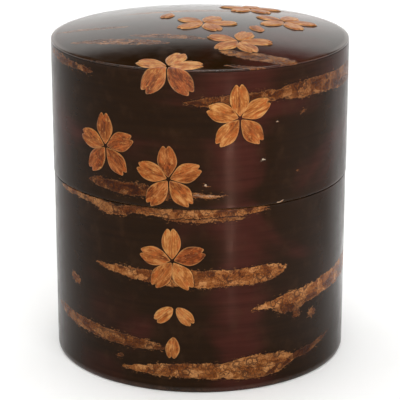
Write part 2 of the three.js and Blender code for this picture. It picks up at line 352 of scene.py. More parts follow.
finish_material(shader, colour, roughness, grain["Height"], 0.05)

body_tube = cut_square("body_core", (0.1, 0.0), (0.1, 0.0), (0.12, 0.6), (0.12, 0.8))
fit(turned("body_veneer_tube", body_tube), veneer, "caddy_body", "veneer", "body_core")


# ------------------------
# Base board. A disc of plain wood glued in the foot of the tube. It never shows, so it keeps
# its own mesh and only gets the veneer's finish.

def keep(node, material):
    """Gives a CAD node that keeps its own mesh a material."""
    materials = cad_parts[node].data.materials
    materials.clear()
    materials.append(material)


keep("base_board", veneer)


# ------------------------
# Body bark. One sheet of cherry bark, scraped, ironed on round the tube and polished until it is
# nearly black, its two ends meeting at the back. The bark's corky streaks lie flush in it.

def shades(value, *stops):
    """A colour ramp of (position, colour) stops."""
    ramp = put("ValToRGB", {"Fac": value})
    stop_row = ramp.color_ramp.elements
    while len(stop_row) < len(stops):
        stop_row.new(0.5)
    for stop, (position, colour) in zip(stop_row, stops):
        stop.position = position
        stop.color = (*colour, 1.0)
    return ramp.outputs["Color"]


# One corky streak. Ends holds its two ends along X and how blunt they are; Heights and
# Thicknesses hold its left, middle and right. Inside is how far a place lies inside it, in mm.
streak, given, result = start_group(
    "corky streak",
    {"Place": "vector", "Ends": "vector", "Heights": "vector", "Thicknesses": "vector"},
    {"Inside": "value"},
)
x, y, _ = split(given["Place"])
left, right, bluntness = split(given["Ends"])
length = less(right, left)
share = calculate("DIVIDE", less(x, left), length, clamp=True)
rest = less(1.0, share)
lean = less(share, rest)
weights = joined(
    times(times(lean, rest), -1.0),
    times(times(share, rest), 4.0),
    times(lean, share),
)
middle, thick = (
    put("VectorMath", {0: weights, 1: given[label]}, operation="DOT_PRODUCT").outputs["Value"]
    for label in ("Heights", "Thicknesses")
)
to_end = times(calculate("MINIMUM", share, rest), bluntness, clamp=True)
half = times(times(thick, 0.5), calculate("SQRT", to_end))
off_middle = calculate("ABSOLUTE", less(y, middle))
past = larger(less(left, x), less(x, right))
past = larger(past, 0.0)
inside = less(less(half, off_middle), past)
feed(result["Inside"], inside)

# Ragged: moves a place up and down so that a streak's edges come out torn and scalloped.
ragged, given, result = start_group("ragged", {"Place": "vector"}, {"Place": "vector"})
lobes = less(noise(given["Place"], (0.16, 0.25, 0.0), 2.0), 0.5)
tears = less(noise(given["Place"], (0.75, 1.1, 0.0), 4.0, 0.65), 0.5)
strands = less(noise(given["Place"], (0.12, 2.4, 0.0), 2.0), 0.5)
rise = plus(times(lobes, 1.5), times(tears, 1.8))
rise = plus(rise, times(strands, 0.7))
shift = joined(times(tears, 3.0), rise)
moved = vector_of("ADD", given["Place"], shift)
feed(result["Place"], moved)

# Cork: what the streaks are made of, tan to orange brown with dark curls and pits, a pale torn
# edge, and a dark line round it where the polish gathers.
cork, given, result = start_group(
    "cork",
    {"Place": "vector", "Inside": "value"},
    {"Color": "colour", "Mask": "value", "Outline": "value", "Height": "value"},
)
place = given["Place"]
inside = given["Inside"]
clouds = noise(place, (0.20, 0.42, 0.3), 4.0, 0.6, 0.6)
fibre = noise(place, (1.5, 1.2, 1.0), 5.0, 0.7, 1.5)
wander = put("TexNoise", {"Vector": place, "Scale": 0.8, "Detail": 3.0}).outputs["Color"]
wander = vector_of("MULTIPLY", wander, (2.2, 1.6, 0.0))
curled = vector_of("ADD", place, wander)
flakes = put("TexVoronoi", {"Vector": curled, "Scale": 0.42}, voronoi_dimensions="2D").outputs["Color"]
flake_tone = put("SeparateColor", {0: flakes}).outputs[0]
tone = plus(times(clouds, 0.45), times(fibre, 0.38))
tone = plus(tone, times(flake_tone, 0.17))
cork_colour = shades(
    tone,
    (0.38, (0.050, 0.013, 0.004)), (0.46, (0.145, 0.042, 0.009)),
    (0.53, (0.242, 0.090, 0.024)), (0.61, (0.400, 0.182, 0.064)),
)
cells = put(
    "TexVoronoi", {"Vector": curled, "Scale": 0.9},
    feature="DISTANCE_TO_EDGE", voronoi_dimensions="2D",
).outputs["Distance"]
curl_zone = between(noise(place, (0.16, 0.25, 0.2), 2.0), 0.38, 0.52)
curls = times(between(cells, 0.12, 0.02), curl_zone)
knots = put("TexVoronoi", {"Vector": curled, "Scale": 0.27}, voronoi_dimensions="2D").outputs
ring = calculate("ABSOLUTE", less(knots["Distance"], 0.24))
knot_share = put("SeparateColor", {0: knots["Color"]}).outputs[1]
rings = times(between(ring, 0.10, 0.03), between(knot_share, 0.28, 0.38))
pits = between(noise(place, (0.9, 1.5, 1.0), 3.0, 0.6), 0.60, 0.69)
cracks = between(noise(place, (0.10, 2.0, 0.5), 3.0, 0.6), 0.58, 0.68, 0.0, 0.7)
darker = larger(times(curls, 0.85), times(pits, 0.85))
darker = larger(darker, cracks)
darker = larger(darker, times(rings, 0.85))
cork_colour = blend(darker, cork_colour, (0.045, 0.015, 0.006))
pale_edge = times(between(inside, 0.42, 0.08), between(fibre, 0.42, 0.6))
cork_colour = blend(times(pale_edge, 0.5), cork_colour, (0.36, 0.17, 0.060))
feed(result["Color"], cork_colour)
scraps = between(noise(place, (0.8, 2.2, 1.0), 3.0, 0.6), 0.58, 0.66)
scraps = times(scraps, between(inside, -1.0, -0.2, 0.0, 0.8))
feed(result["Mask"], larger(between(inside, -0.05, 0.09), scraps))
feed(result["Outline"], between(inside, -0.5, 0.0))
relief = less(times(fibre, 0.7), times(darker, 0.6))
feed(result["Height"], relief)

# Polished bark between the streaks: near black, with silky bands round it and wine-red clouds.
bark_ground, given, result = start_group(
    "bark ground",
    {"Place": "vector", "Redness": "value"},
    {"Color": "colour", "Height": "value", "Roughness": "value"},
)
place = given["Place"]
silk = noise(place, (0.045, 0.9, 0.3), 6.0, 0.6, 0.3)
threads = noise(place, (0.12, 5.0, 0.3), 3.0, 0.6)
clouds = noise(place, (0.03, 0.05, 0.05), 3.0, 0.5, 0.6)
blotches = noise(place, (0.25, 0.2, 0.2), 4.0, 0.6)
dark_tone = shades(silk, (0.2, (0.0095, 0.0039, 0.0008)), (0.8, (0.0180, 0.0074, 0.0020)))
red_tone = shades(silk, (0.2, (0.0260, 0.0063, 0.0036)), (0.8, (0.0520, 0.0128, 0.0080)))
# Redness brings in the red patch, a painted warm reflection, on top of the bark's own wine-red clouds.
red_zone = plus(clouds, given["Redness"])
ground = blend(between(red_zone, 0.40, 0.66), dark_tone, red_tone)
ground = blend(between(blotches, 0.5, 0.75, 0.0, 0.3), ground, (0.042, 0.019, 0.008))
ground = blend(between(threads, 0.6, 0.8, 0.0, 0.12), ground, (0.065, 0.030, 0.013))
feed(result["Color"], ground)
feed(result["Height"], plus(silk, times(threads, 0.3)))
feed(result["Roughness"], between(blotches, 0.35, 0.65, 0.17, 0.25))


def at(degrees):
    """The place round the sheet of an angle from the front, in mm."""
    return math.radians(degrees) * sheet_radius


def dark_bark(name, place_group, streaks, red_patch=(0.0, 20.0), shine=0.06, haze=1.0):
    """Polished bark with its streaks, each (left, right, bluntness, heights, thicknesses) in mm,
    but with its left and right in degrees from the front on a wrapped sheet. Some have a tone:
    below 0 it is that much darker, above 0 that much paler. The red patch is the middle and reach
    along X of a redder stretch; on the sides of the body and the lid it is a painted reflection,
    the warm glow that the polish reflects right of the front. Shine is how strongly the polish
    reflects. Haze is how much of the ground's roughness is left: less is a finer polish."""
    material, shader = start_material(name, Specular_IOR_Level=shine, Coat_Roughness=0.06)
    place = place_on(place_group)
    torn = use_group(ragged, {"Place": place})["Place"]
    inside = None
    tones = {False: 0.0, True: 0.0}
    for left, right, bluntness, heights, thicknesses, *tone in streaks:
        if place_group == sheet_place:
            left, right = at(left), at(right)
        one = use_group(streak, {
            "Place": torn, "Ends": (left, right, bluntness), "Heights": heights, "Thicknesses": thicknesses,
        })["Inside"]
        inside = one if inside is None else larger(inside, one)
        if tone:
            paler = tone[0] > 0
            fade = (-0.1, 0.04) if paler else (-0.4, 0.0)  # a pale tone keeps tight to its streak
            own_tone = between(one, *fade, 0.0, abs(tone[0]))
            tones[paler] = larger(tones[paler], own_tone)
    # The red patch paints a redder stretch into the ground: a painted warm reflection in the polish.
    patch_middle, patch_reach = red_patch
    off_patch = less(split(place)[0], patch_middle)
    redness = between(calculate("ABSOLUTE", off_patch), patch_reach, 0.0, -0.10, 0.16)
    ground = use_group(bark_ground, {"Place": place, "Redness": redness})
    corky = use_group(cork, {"Place": place, "Inside": inside})
    worn, rubbed = wear_on(place, 0.55)
    outline = times(corky["Outline"], 0.55)
    colour = blend(outline, ground["Color"], (0.008, 0.004, 0.003))
    colour = blend(rubbed, colour, (0.060, 0.026, 0.012))
    cork_colour = blend(tones[False], corky["Color"], (0.10, 0.03, 0.03), "MULTIPLY")
    cork_colour = blend(tones[True], cork_colour, (0.62, 0.54, 0.42))
    colour = blend(corky["Mask"], colour, cork_colour)
    cork_roughness = between(corky["Height"], -0.2, 0.5, 0.36, 0.22)
    ground_roughness = times(less(haze, corky["Mask"]), ground["Roughness"])
    roughness = plus(times(corky["Mask"], cork_roughness), ground_roughness)
    roughness = plus(roughness, times(rubbed, 0.12))
    height = times(corky["Mask"], corky["Height"])
    height = plus(height, times(ground["Height"], 0.08))
    feed(shader.inputs["Coat Weight"], times(worn, 0.42))
    finish_material(shader, colour, roughness, height, 0.045)
    return material


body_streaks = [
    (-67, -36, 5, (51.3, 51.3, 51.0), (1.4, 1.5, 1.6), -0.25),
    (-46, -26, 7, (50.8, 50.0, 49.8), (1.2, 3.0, 1.4), -0.3),
    (-34, 27, 9, (50.8, 50.8, 51.3), (1.8, 2.3, 1.4), -0.2),
    (-14, 17, 8, (49.2, 48.9, 49.4), (0.3, 1.0, 0.5), -0.4),
    (-43, 34.5, 9, (34.0, 32.6, 33.6), (1.0, 4.6, 4.2)),
    (20, 92, 6, (23.4, 25.0, 27.0), (2.2, 5.0, 5.0)),
    (29, 45, 7, (22.2, 21.6, 22.6), (1.2, 2.4, 1.2), -0.5),
    (-74, -12, 7, (15.6, 14.0, 12.8), (2.6, 3.6, 2.2), -0.4),
    (-31, 15, 7, (5.6, 6.4, 6.2), (1.2, 4.0, 4.0)),
    (3, 41, 5, (6.2, 6.6, 7.0), (2.6, 6.6, 2.2)),
    (36, 61, 5, (7.0, 8.2, 10.4), (2.0, 2.0, 0.9), -0.65),
    (-59.5, -53, 8, (27.4, 26.7, 26.0), (1.6, 2.6, 1.8), -0.45),
    (-33.5, -30.5, 8, (8.4, 8.5, 8.6), (0.9, 1.1, 0.9), -0.35),
    (46, 50.4, 8, (18.2, 18.3, 18.2), (1.6, 2.2, 1.6), -0.55),
    (37.5, 41.8, 8, (19.3, 19.5, 19.4), (1.8, 2.4, 1.8), -0.55),
    (98, 158, 5, (41.4, 39.4, 38.2), (1.0, 3.6, 1.6), -0.2),
    (126, 148, 8, (38.6, 37.4, 37.8), (1.4, 3.0, 0.8), -0.4),
    (112, 178.5, 7, (13.6, 15.8, 15.2), (1.2, 3.4, 3.2), -0.1),
    (104, 121, 7, (26.6, 27.2, 27.9), (0.8, 1.8, 1.2), -0.5),
    (128, 136, 8, (25.4, 25.8, 25.6), (1.0, 1.7, 0.9), -0.5),
    (-178.5, -142, 7, (15.2, 13.0, 12.2), (3.0, 2.6, 0.9), -0.3),
    (-176, -108, 6, (30.6, 28.0, 28.4), (2.2, 4.4, 1.2), -0.15),
    (-134, -118, 8, (25.6, 25.0, 25.4), (0.8, 1.6, 0.7), -0.5),
    (-152, -90, 6, (5.4, 7.4, 9.6), (0.9, 3.2, 1.6), -0.25),
    (-142, -86, 8, (45.4, 44.0, 45.0), (0.8, 2.8, 2.2), -0.35),
]
# The red patch right of the front is a painted warm reflection in the polish.
body_bark_finish = dark_bark("body bark", sheet_place, body_streaks, (at(15), 13.0))

seam = 0.25  # between the sheet's two ends, at the back
bark_inner, bark_outer, bark_bottom, bark_top = spans("body_bark")
fit(
    turned("body_bark_sheet", softened([
        (bark_inner, bark_bottom, 0, 0.0),
        (bark_outer - 0.3, bark_bottom, 0.1, 1.0),
        (bark_outer, bark_bottom + 0.55, 0.4, 1.0),
        (bark_outer, bark_top, 0.26, 0.15),
        (bark_inner, bark_top, 0.05, 0.0),
    ]), seam),
    body_bark_finish, "caddy_body", "dark_bark", "body_bark",
)


# ------------------------
# Foot. A disc of bark glued under the tube and the base board, its lower edge softened. It has
# the body's dark bark and polish, and the caddy stands on it.

disc_streaks = [
    (-30, 12, 7, (-9.0, -10.5, -10.0), (1.5, 3.4, 1.5)),
    (-4, 33, 7, (13.0, 14.0, 12.4), (1.4, 3.8, 2.0)),
]
disc_bark_finish = dark_bark("disc bark", flat_place, disc_streaks)

foot_disc = cut_square("base_bark", (0.15, 1.0), (0.05, 0.0))
fit(turned("foot_bark_disc", foot_disc), disc_bark_finish, "caddy_body", "dark_bark", "base_bark")


# ------------------------
# Sleeve. A thinner veneer tube glued inside the body and standing up out of it, so that the lid
# slides down over it. It wears bark on its outside, and a bark lining inside and on the floor.

sleeve_tube = cut_square("sleeve_core", (0.1, 0.0), (0.1, 0.0), (0.25, 0.9), (0.15, 0.9))
fit(turned("sleeve_veneer_tube", sleeve_tube), veneer, "caddy_body", "veneer", "sleeve_core")

sleeve_streaks = [
    (-70, -8, 6, (64.6, 63.8, 63.2), (1.0, 2.8, 1.6)),
    (12, 60, 6, (57.8, 58.6, 59.4), (1.0, 2.4, 1.2)),
    (74, 150, 6, (66.4, 65.4, 66.0), (1.4, 3.2, 1.6)),
    (-166, -104, 6, (58.4, 57.6, 57.8), (1.2, 2.8, 1.2)),
]
sleeve_bark_finish = dark_bark("sleeve bark", sheet_place, sleeve_streaks)
bark_inner, bark_outer, bark_bottom, bark_top = spans("sleeve_bark")
fit(
    turned("sleeve_bark_sheet", softened([
        (bark_inner, bark_bottom, 0, 0.0),
        (bark_outer, bark_bottom, 0.05, 0.2),
        (bark_outer, bark_top - 0.4, 0.3, 1.0),
        (bark_inner + 0.05, bark_top, 0.05, 1.0),
    ]), seam),
    sleeve_bark_finish, "caddy_body", "dark_bark", "sleeve_bark",
)


def lining_finish(name, place_group):
    """Thin brown bark, scraped but hardly polished, with short silky flecks."""
    material, shader = start_material(name, Specular_IOR_Level=0.3)
    place = place_on(place_group)
    silk = noise(place, (0.05, 0.8, 0.4), 6.0, 0.62, 0.4)
    flecks = noise(place, (0.35, 2.6, 1.0), 3.0, 0.6)
    clouds = noise(place, (0.04, 0.07, 0.07), 3.0)
    brown = shades(
        silk,
        (0.34, (0.085, 0.034, 0.016)), (0.5, (0.15, 0.064, 0.030)), (0.66, (0.22, 0.105, 0.052)),
    )
    brown = blend(between(clouds, 0.4, 0.65, 0.0, 0.4), brown, (0.11, 0.036, 0.018))
    fleck_mask = between(flecks, 0.62, 0.72)
    brown = blend(times(fleck_mask, 0.6), brown, (0.36, 0.20, 0.10))
    _, rubbed = wear_on(place, 0.6)
    brown = blend(rubbed, brown, (0.30, 0.17, 0.09))
    height = plus(silk, times(fleck_mask, 0.4))
    finish_material(shader, brown, between(silk, 0.3, 0.7, 0.52, 0.38), height, 0.04)
    return material


sheet_lining = lining_finish("sheet lining", sheet_place)
disc_lining = lining_finish("disc lining", flat_place)

chamber_lining = cut_square("sleeve_lining", (0, 0.0), (0, 0.0), (0.05, 0.6), (0.12, 0.9))
fit(
    turned("chamber_lining_sheet", chamber_lining, seam),
    sheet_lining, "caddy_body", "lining", "sleeve_lining",
)
chamber_floor = cut_square("floor_lining", (0.05, 0.0), (0.08, 0.4))
fit(turned("chamber_floor_disc", chamber_floor), disc_lining, "caddy_body", "lining", "floor_lining")


# ------------------------
# Lid tube. The upper length of the same wrapped tube, thinned inside to slide over the sleeve
# and lined with bark. A board with a domed face closes it, lined underneath as well.

lid_tube = cut_square("lid_core", (0.1, 0.8), (0.1, 0.6), (0.1, 0.0), (0.1, 0.0))
fit(turned("lid_veneer_tube", lid_tube), veneer, "lid", "veneer", "lid_core")
lid_lining = cut_square("lid_lining", (0.16, 1.0), (0.05, 0.6), (0, 0.0), (0, 0.0))
fit(turned("lid_lining_sheet", lid_lining, seam), sheet_lining, "lid", "lining", "lid_lining")
keep("lid_board", veneer)
ceiling = cut_square("lid_ceiling_lining", (0.08, 0.2), (0.05, 0.0))
fit(turned("lid_ceiling_disc", ceiling), disc_lining, "lid", "lining", "lid_ceiling_lining")


# ------------------------
# Lid bark. A sheet round the lid's tube and a disc over the domed board, moistened and pressed
# to its curve. The disc runs out over the sheet's edge, and both are filed to one soft rim.

lid_streaks = [
    (-6, 34, 7, (80.6, 81.3, 81.9), (1.6, 3.0, 3.0), -0.4),
    (26, 93, 9, (82.0, 81.8, 81.2), (3.2, 5.2, 5.2), -0.42),
    (-78, -43, 7, (87.6, 86.9, 86.2), (2.2, 2.0, 1.2), -0.45),
    (-46, -8, 9, (56.9, 56.4, 56.2), (2.0, 3.2, 2.8), -0.55),
    (-14, 9.8, 6, (56.4, 55.9, 55.8), (2.4, 1.2, 0.7), -0.15),
    (-3, 8.5, 8, (56.1, 55.9, 55.8), (0.1, 0.2, 0.1), 0.2),
    (1.4, 2.8, 8, (58.6, 58.7, 58.6), (0.3, 0.5, 0.3), 0.4),
    (29.5, 32, 8, (52.6, 52.6, 52.7), (0.3, 0.4, 0.3), 0.35),
    (22.8, 25.0, 8, (64.8, 64.8, 64.8), (0.3, 0.6, 0.3), 0.6),
    (38, 39.4, 8, (60.0, 60.0, 60.0), (0.4, 0.6, 0.4), -0.4),
    (40, 42.5, 8, (75.3, 75.8, 76.3), (0.4, 0.8, 0.4), -0.65),
    (29, 29.8, 8, (74.5, 74.5, 74.5), (0.2, 0.35, 0.2), 0.4),
    (102, 172, 5, (60.8, 62.8, 63.6), (1.2, 4.2, 1.4), -0.2),
    (146, 169, 8, (60.4, 59.8, 60.6), (0.8, 2.0, 0.8), -0.45),
    (118, 160, 7, (80.4, 78.8, 77.6), (0.9, 2.8, 1.8), -0.35),
    (-178.5, -124, 7, (73.4, 70.8, 69.8), (1.8, 4.2, 2.4), -0.15),
    (-132, -100, 7, (68.8, 69.4, 70.6), (1.6, 1.8, 0.7), -0.4),
    (-138, -88, 6, (83.0, 83.6, 84.8), (1.0, 2.4, 1.4), -0.4),
    (-126, -82, 8, (57.2, 58.4, 58.0), (0.9, 2.0, 1.4), -0.3),
]
# The red patch right of the front is a painted warm reflection in the polish.
lid_bark_finish = dark_bark("lid bark", sheet_place, lid_streaks, (at(15), 13.0))
lid_sheet = cut_square("lid_bark", (0.05, 0.0), (0.26, 0.15), (0.04, 0.2), (0, 0.0))
fit(turned("lid_bark_sheet", lid_sheet, seam), lid_bark_finish, "lid", "dark_bark", "lid_bark")

top_bark_depth = 0.5
_, lid_radius, rim_bottom, dome_top = spans("lid_top_bark")
rim_height = rim_bottom + top_bark_depth
dome_rise = dome_top - rim_height
dome_sphere = (lid_radius ** 2 + dome_rise ** 2) / (2 * dome_rise)


def dome(radius):
    """Height of the lid's domed top at a distance from the axis, in mm."""
    return dome_top - dome_sphere + math.sqrt(dome_sphere ** 2 - radius ** 2)


def dome_rows(start, end, depth, steps, wear=0.0):
    """Outline points on the dome from one radius to another, at a depth below its face."""
    radii = [start + (end - start) * step / steps for step in range(steps + 1)]
    return [(radius, dome(radius) - depth, wear) for radius in radii]


top_streaks = [
    (-35, -8, 6, (-13.0, -17.5, -21.4), (2.0, 4.4, 2.6), -0.45),
    (-19, 2, 6, (-12.6, -15.6, -18.4), (1.6, 3.4, 1.8), -0.4),
    (-40, -19, 5, (0.4, -1.4, -3.4), (1.4, 2.4, 1.2), -0.45),
    (5, 25, 7, (-28.0, -31.2, -32.4), (3.0, 5.0, 2.8), -0.25),
    (6, 19, 6, (-37.6, -38.4, -37.6), (0.8, 1.4, 0.8), -0.3),
    (-22, 10, 6, (14.6, 15.8, 16.8), (1.0, 2.6, 1.2)),
    (4, 30, 6, (27.4, 26.2, 24.4), (0.9, 2.2, 1.0)),
]
top_bark_finish = dark_bark("top bark", flat_place, top_streaks, (24.0, 22.0), shine=0.13, haze=0.62)
rim_rounding = 0.4
rim_steps = 6
rim_arc = 78  # degrees, from the side up to where the dome takes over
lower_bevel = 0.06
rim_middle = lid_radius - rim_rounding
turned_top = [
    (0, dome_top - top_bark_depth, 0.0),
    *dome_rows(4, rim_middle, top_bark_depth, 10),
    (lid_radius - lower_bevel, rim_bottom, 0.2),
    (lid_radius, rim_bottom + lower_bevel, 0.3),
]
for step in range(rim_steps + 1):
    angle = math.radians(rim_arc * step / rim_steps)
    out = rim_middle + rim_rounding * math.cos(angle)
    up = dome(rim_middle) - rim_rounding + rim_rounding * math.sin(angle)
    turned_top.append((out, up, 1.0))
turned_top += [*dome_rows(lid_radius - 1.5, 1, 0, 26), (0, dome_top, 0.0)]
fit(turned("lid_top_bark_disc", turned_top), top_bark_finish, "lid", "dark_bark", "lid_top_bark")


# ------------------------
# Inner lid. A turned cherry board: its flange lies on the sleeve's rim and its plug goes into
# the sleeve's mouth. Bark discs face it above and below, and a turned knob is glued in its top.

turned_wood, shader = start_material("turned wood", Specular_IOR_Level=0.4)
place = place_on(flat_place)
grain = use_group(
    wood_grain, {"Place": place, "Light": (0.23, 0.085, 0.034, 1), "Dark": (0.105, 0.034, 0.014, 1)},
)
_, rubbed = wear_on(place, 0.5)
x, y, z = split(place)
tool_rings = joined(from_axis(x, y), z)
tool_marks = noise(tool_rings, (5.0, 5.0, 0.0), 2.0)
colour = blend(rubbed, grain["Color"], (0.34, 0.15, 0.07))
height = plus(grain["Height"], times(tool_marks, 0.5))
finish_material(shader, colour, between(tool_marks, 0.3, 0.7, 0.24, 0.36), height, 0.03)

_, flange_radius, plug_bottom, board_top = spans("inner_lid_board")
plug_radius = spans("inner_lid_under_bark")[1]
hole_radius, _, _, bark_top = spans("inner_lid_top_bark")
_, knob_radius, tenon_bottom, knob_top = spans("inner_lid_knob")
glue_line = 0.1  # between two pieces, and under the flange where it rests on the sleeve
flange_bottom = spans("sleeve_core")[3] + glue_line
fit(
    turned("inner_lid_turned_board", softened([
        (0, plug_bottom, 0, 0.0),
        (plug_radius, plug_bottom, 0.2, 0.6),
        (plug_radius, flange_bottom, 0, 0.0),
        (flange_radius, flange_bottom, 0.15, 0.6),
        (flange_radius, board_top, 0.1, 0.4),
        (hole_radius, board_top, 0, 0.0),
        (hole_radius, tenon_bottom - glue_line, 0, 0.0),
        (0, tenon_bottom - glue_line, 0, 0.0),
    ])),
    turned_wood, "inner_lid", "turned_wood", "inner_lid_board",
)

inner_streaks = [
    (-33, 4, 6, (-14.0, -12.4, -12.8), (1.4, 3.6, 1.8)),
    (-6, 34, 6, (11.0, 12.8, 12.0), (1.6, 4.0, 2.2)),
    (8, 31, 6, (-21.4, -20.6, -19.4), (1.0, 2.0, 1.0)),
    (-31, -12, 6, (17.6, 18.8, 19.4), (1.0, 1.8, 1.0)),
]
inner_bark_finish = dark_bark("inner lid bark", flat_place, inner_streaks)
top_disc = cut_square("inner_lid_top_bark", (0, 0.0), (0.05, 0.2), (0.3, 1.0), (0.05, 0.0))
fit(
    turned("inner_lid_top_bark_disc", top_disc),
    inner_bark_finish, "inner_lid", "dark_bark", "inner_lid_top_bark",
)
under_disc = cut_square("inner_lid_under_bark", (0.25, 1.0), (0.05, 0.2))
fit(
    turned("inner_lid_under_bark_disc", under_disc),
    inner_bark_finish, "inner_lid", "dark_bark", "inner_lid_under_bark",
)

knob_foot = bark_top + glue_line
waist = 3.4
tenon = hole_radius - glue_line
fit(
    turned("inner_lid_turned_knob", softened([
        (0, tenon_bottom, 0, 0.0),
        (tenon, tenon_bottom, 0.2, 0.0),
        (tenon, knob_foot, 0, 0.0),
        (waist + 1, knob_foot, 0.1, 0.2),
        (waist + 0.9, knob_foot + 0.5, 0.2, 0.6),
        (waist, knob_foot + 1.3, 0.8, 0.0),
        (waist, knob_foot + 2.9, 0.8, 0.0),
        (knob_radius, knob_top - 3.1, 1.0, 0.3),
        (knob_radius, knob_top - 0.5, 1.7, 1.0),
        (knob_radius * 0.55, knob_top, 1.5, 0.2),
        (0, knob_top, 0, 0.0),
    ], wear_fade=0.4)),
    turned_wood, "inner_lid", "turned_wood", "inner_lid_knob",
)


# ------------------------
# Petals. Each is cut from light cherry bark about a third of a millimetre thick, with a notched
# tip, its edge bevelled and its vein scored with a knife, then glued on and varnished over.

def petal_finish(name, shine):
    """Light bark with its fibres along the petal, the knife's vein down its middle, a painted highlight
    along its bevel, and a near-black skirt round its foot that is partly gathered varnish and partly
    painted contact shadow. The mesh's cut holds how far a point lies along and across its petal in mm,
    and the petal's seed. Its edge holds the distance in from the rim in mm, whether it is the skirt,
    and the petal's darkness."""
    material, shader = start_material(name, Specular_IOR_Level=shine)
    cut = put("Attribute", attribute_name="cut").outputs["Vector"]
    edge = put("Attribute", attribute_name="edge").outputs["Vector"]
    long, wide, seed = split(cut)
    inset, shadow_skirt, darkness = split(edge)
    seeded = joined(long, wide, times(seed, 7.3))
    fibres = noise(seeded, (0.30, 2.6, 1.0), 5.0, 0.62, 0.5)
    threads = noise(seeded, (0.6, 8.0, 1.0), 3.0, 0.6)
    clouds = noise(seeded, (0.24, 0.5, 1.0), 3.0, 0.6, 0.8)
    pits = noise(seeded, (1.2, 3.0, 1.0), 3.0, 0.6)
    tone = plus(times(fibres, 0.42), times(clouds, 0.58))
    tone = plus(tone, between(darkness, -0.5, 1.0, 0.045, -0.015))
    bark = shades(
        tone,
        (0.39, (0.125, 0.030, 0.006)), (0.46, (0.235, 0.070, 0.013)),
        (0.53, (0.330, 0.122, 0.028)), (0.61, (0.480, 0.240, 0.078)),
    )
    redder = shades(
        tone,
        (0.39, (0.065, 0.013, 0.004)), (0.46, (0.125, 0.028, 0.006)),
        (0.53, (0.200, 0.052, 0.012)), (0.61, (0.310, 0.105, 0.030)),
    )
    own_tone = put("TexWhiteNoise", {"W": seed}, noise_dimensions="1D").outputs["Value"]
    redness = plus(times(own_tone, 0.3), darkness)
    red_share = between(redness, 0.0, 1.1, 0.0, 0.95)
    bark = blend(red_share, bark, redder)
    blush = between(noise(seeded, (0.4, 0.9, 1.0), 4.0, 0.65, 1.0), 0.50, 0.62, 0.0, 0.65)
    bark = blend(blush, bark, (0.34, 0.078, 0.014))
    gold = between(noise(seeded, (0.9, 1.6, 1.0), 4.0, 0.65, 0.5), 0.56, 0.70, 0.0, 0.6)
    bark = blend(gold, bark, (0.52, 0.270, 0.085))
    bark = blend(between(threads, 0.54, 0.7, 0.0, 0.45), bark, (0.15, 0.040, 0.010))
    bark = blend(between(pits, 0.66, 0.76, 0.0, 0.6), bark, (0.14, 0.045, 0.016))
    vein_wander = times(less(clouds, 0.5), 0.5)
    off_vein = calculate("ABSOLUTE", plus(wide, vein_wander))
    vein = times(between(off_vein, 0.16, 0.03), between(long, 7.4, 5.2))
    bark = blend(times(vein, 0.6), bark, (0.17, 0.055, 0.02))
    # A painted highlight: the bevel round the petal's rim is made paler in patches, as if catching the
    # light.
    bevel_wander = noise(seeded, (0.5, 0.7, 1.0), 2.0)
    bevel_highlight = between(plus(inset, times(bevel_wander, 0.7)), 0.62, 0.42)
    bark = blend(times(bevel_highlight, 0.28), bark, (0.62, 0.33, 0.12))
    # Painted contact shadow: the skirt round the petal's foot is near black, partly gathered varnish.
    bark = blend(between(shadow_skirt, 0.15, 0.6), bark, (0.010, 0.005, 0.003))
    height = less(fibres, times(vein, 0.5))
    height = plus(height, times(threads, 0.25))
    finish_material(shader, bark, between(fibres, 0.35, 0.65, 0.44, 0.32), height, 0.05)
    return material


side_petal_bark = petal_finish("side petal bark", 0.07)
top_petal_bark = petal_finish("top petal bark", 0.2)

blossom_reach = 8.9  # blossom's centre to its petals' tips
petal_foot = 0.6
petal_half_width = 2.55
petal_notch = 0.8
petal_length = blossom_reach - petal_foot
petal_face = 0.45  # how far a petal's face stands off the bark
petal_wall = 0.17  # how far its edge stands off, below the bevel
bevel_width = 0.5
vein_depth = 0.07
vein_width = 0.14
dish_depth = 0.045  # how far each lobe dips between its vein and its edge
shadow_skirt_width = 0.22  # varnish gathered round the petal's foot, painted near black as its contact shadow
body_mouth = spans("body_bark")[3]
lid_mouth = spans("lid_bark")[2]
body_radius = spans("body_bark")[1]


def width_at(share, fullness=1.0):
    return petal_half_width * math.sin(math.pi * (0.02 + 0.78 * share)) ** fullness


def length_at(side):
    return petal_length - petal_notch * (1 - math.sin(math.pi * abs(side)))


def ease(value):
    value = min(max(value, 0), 1)
    return value * value * (3 - 2 * value)


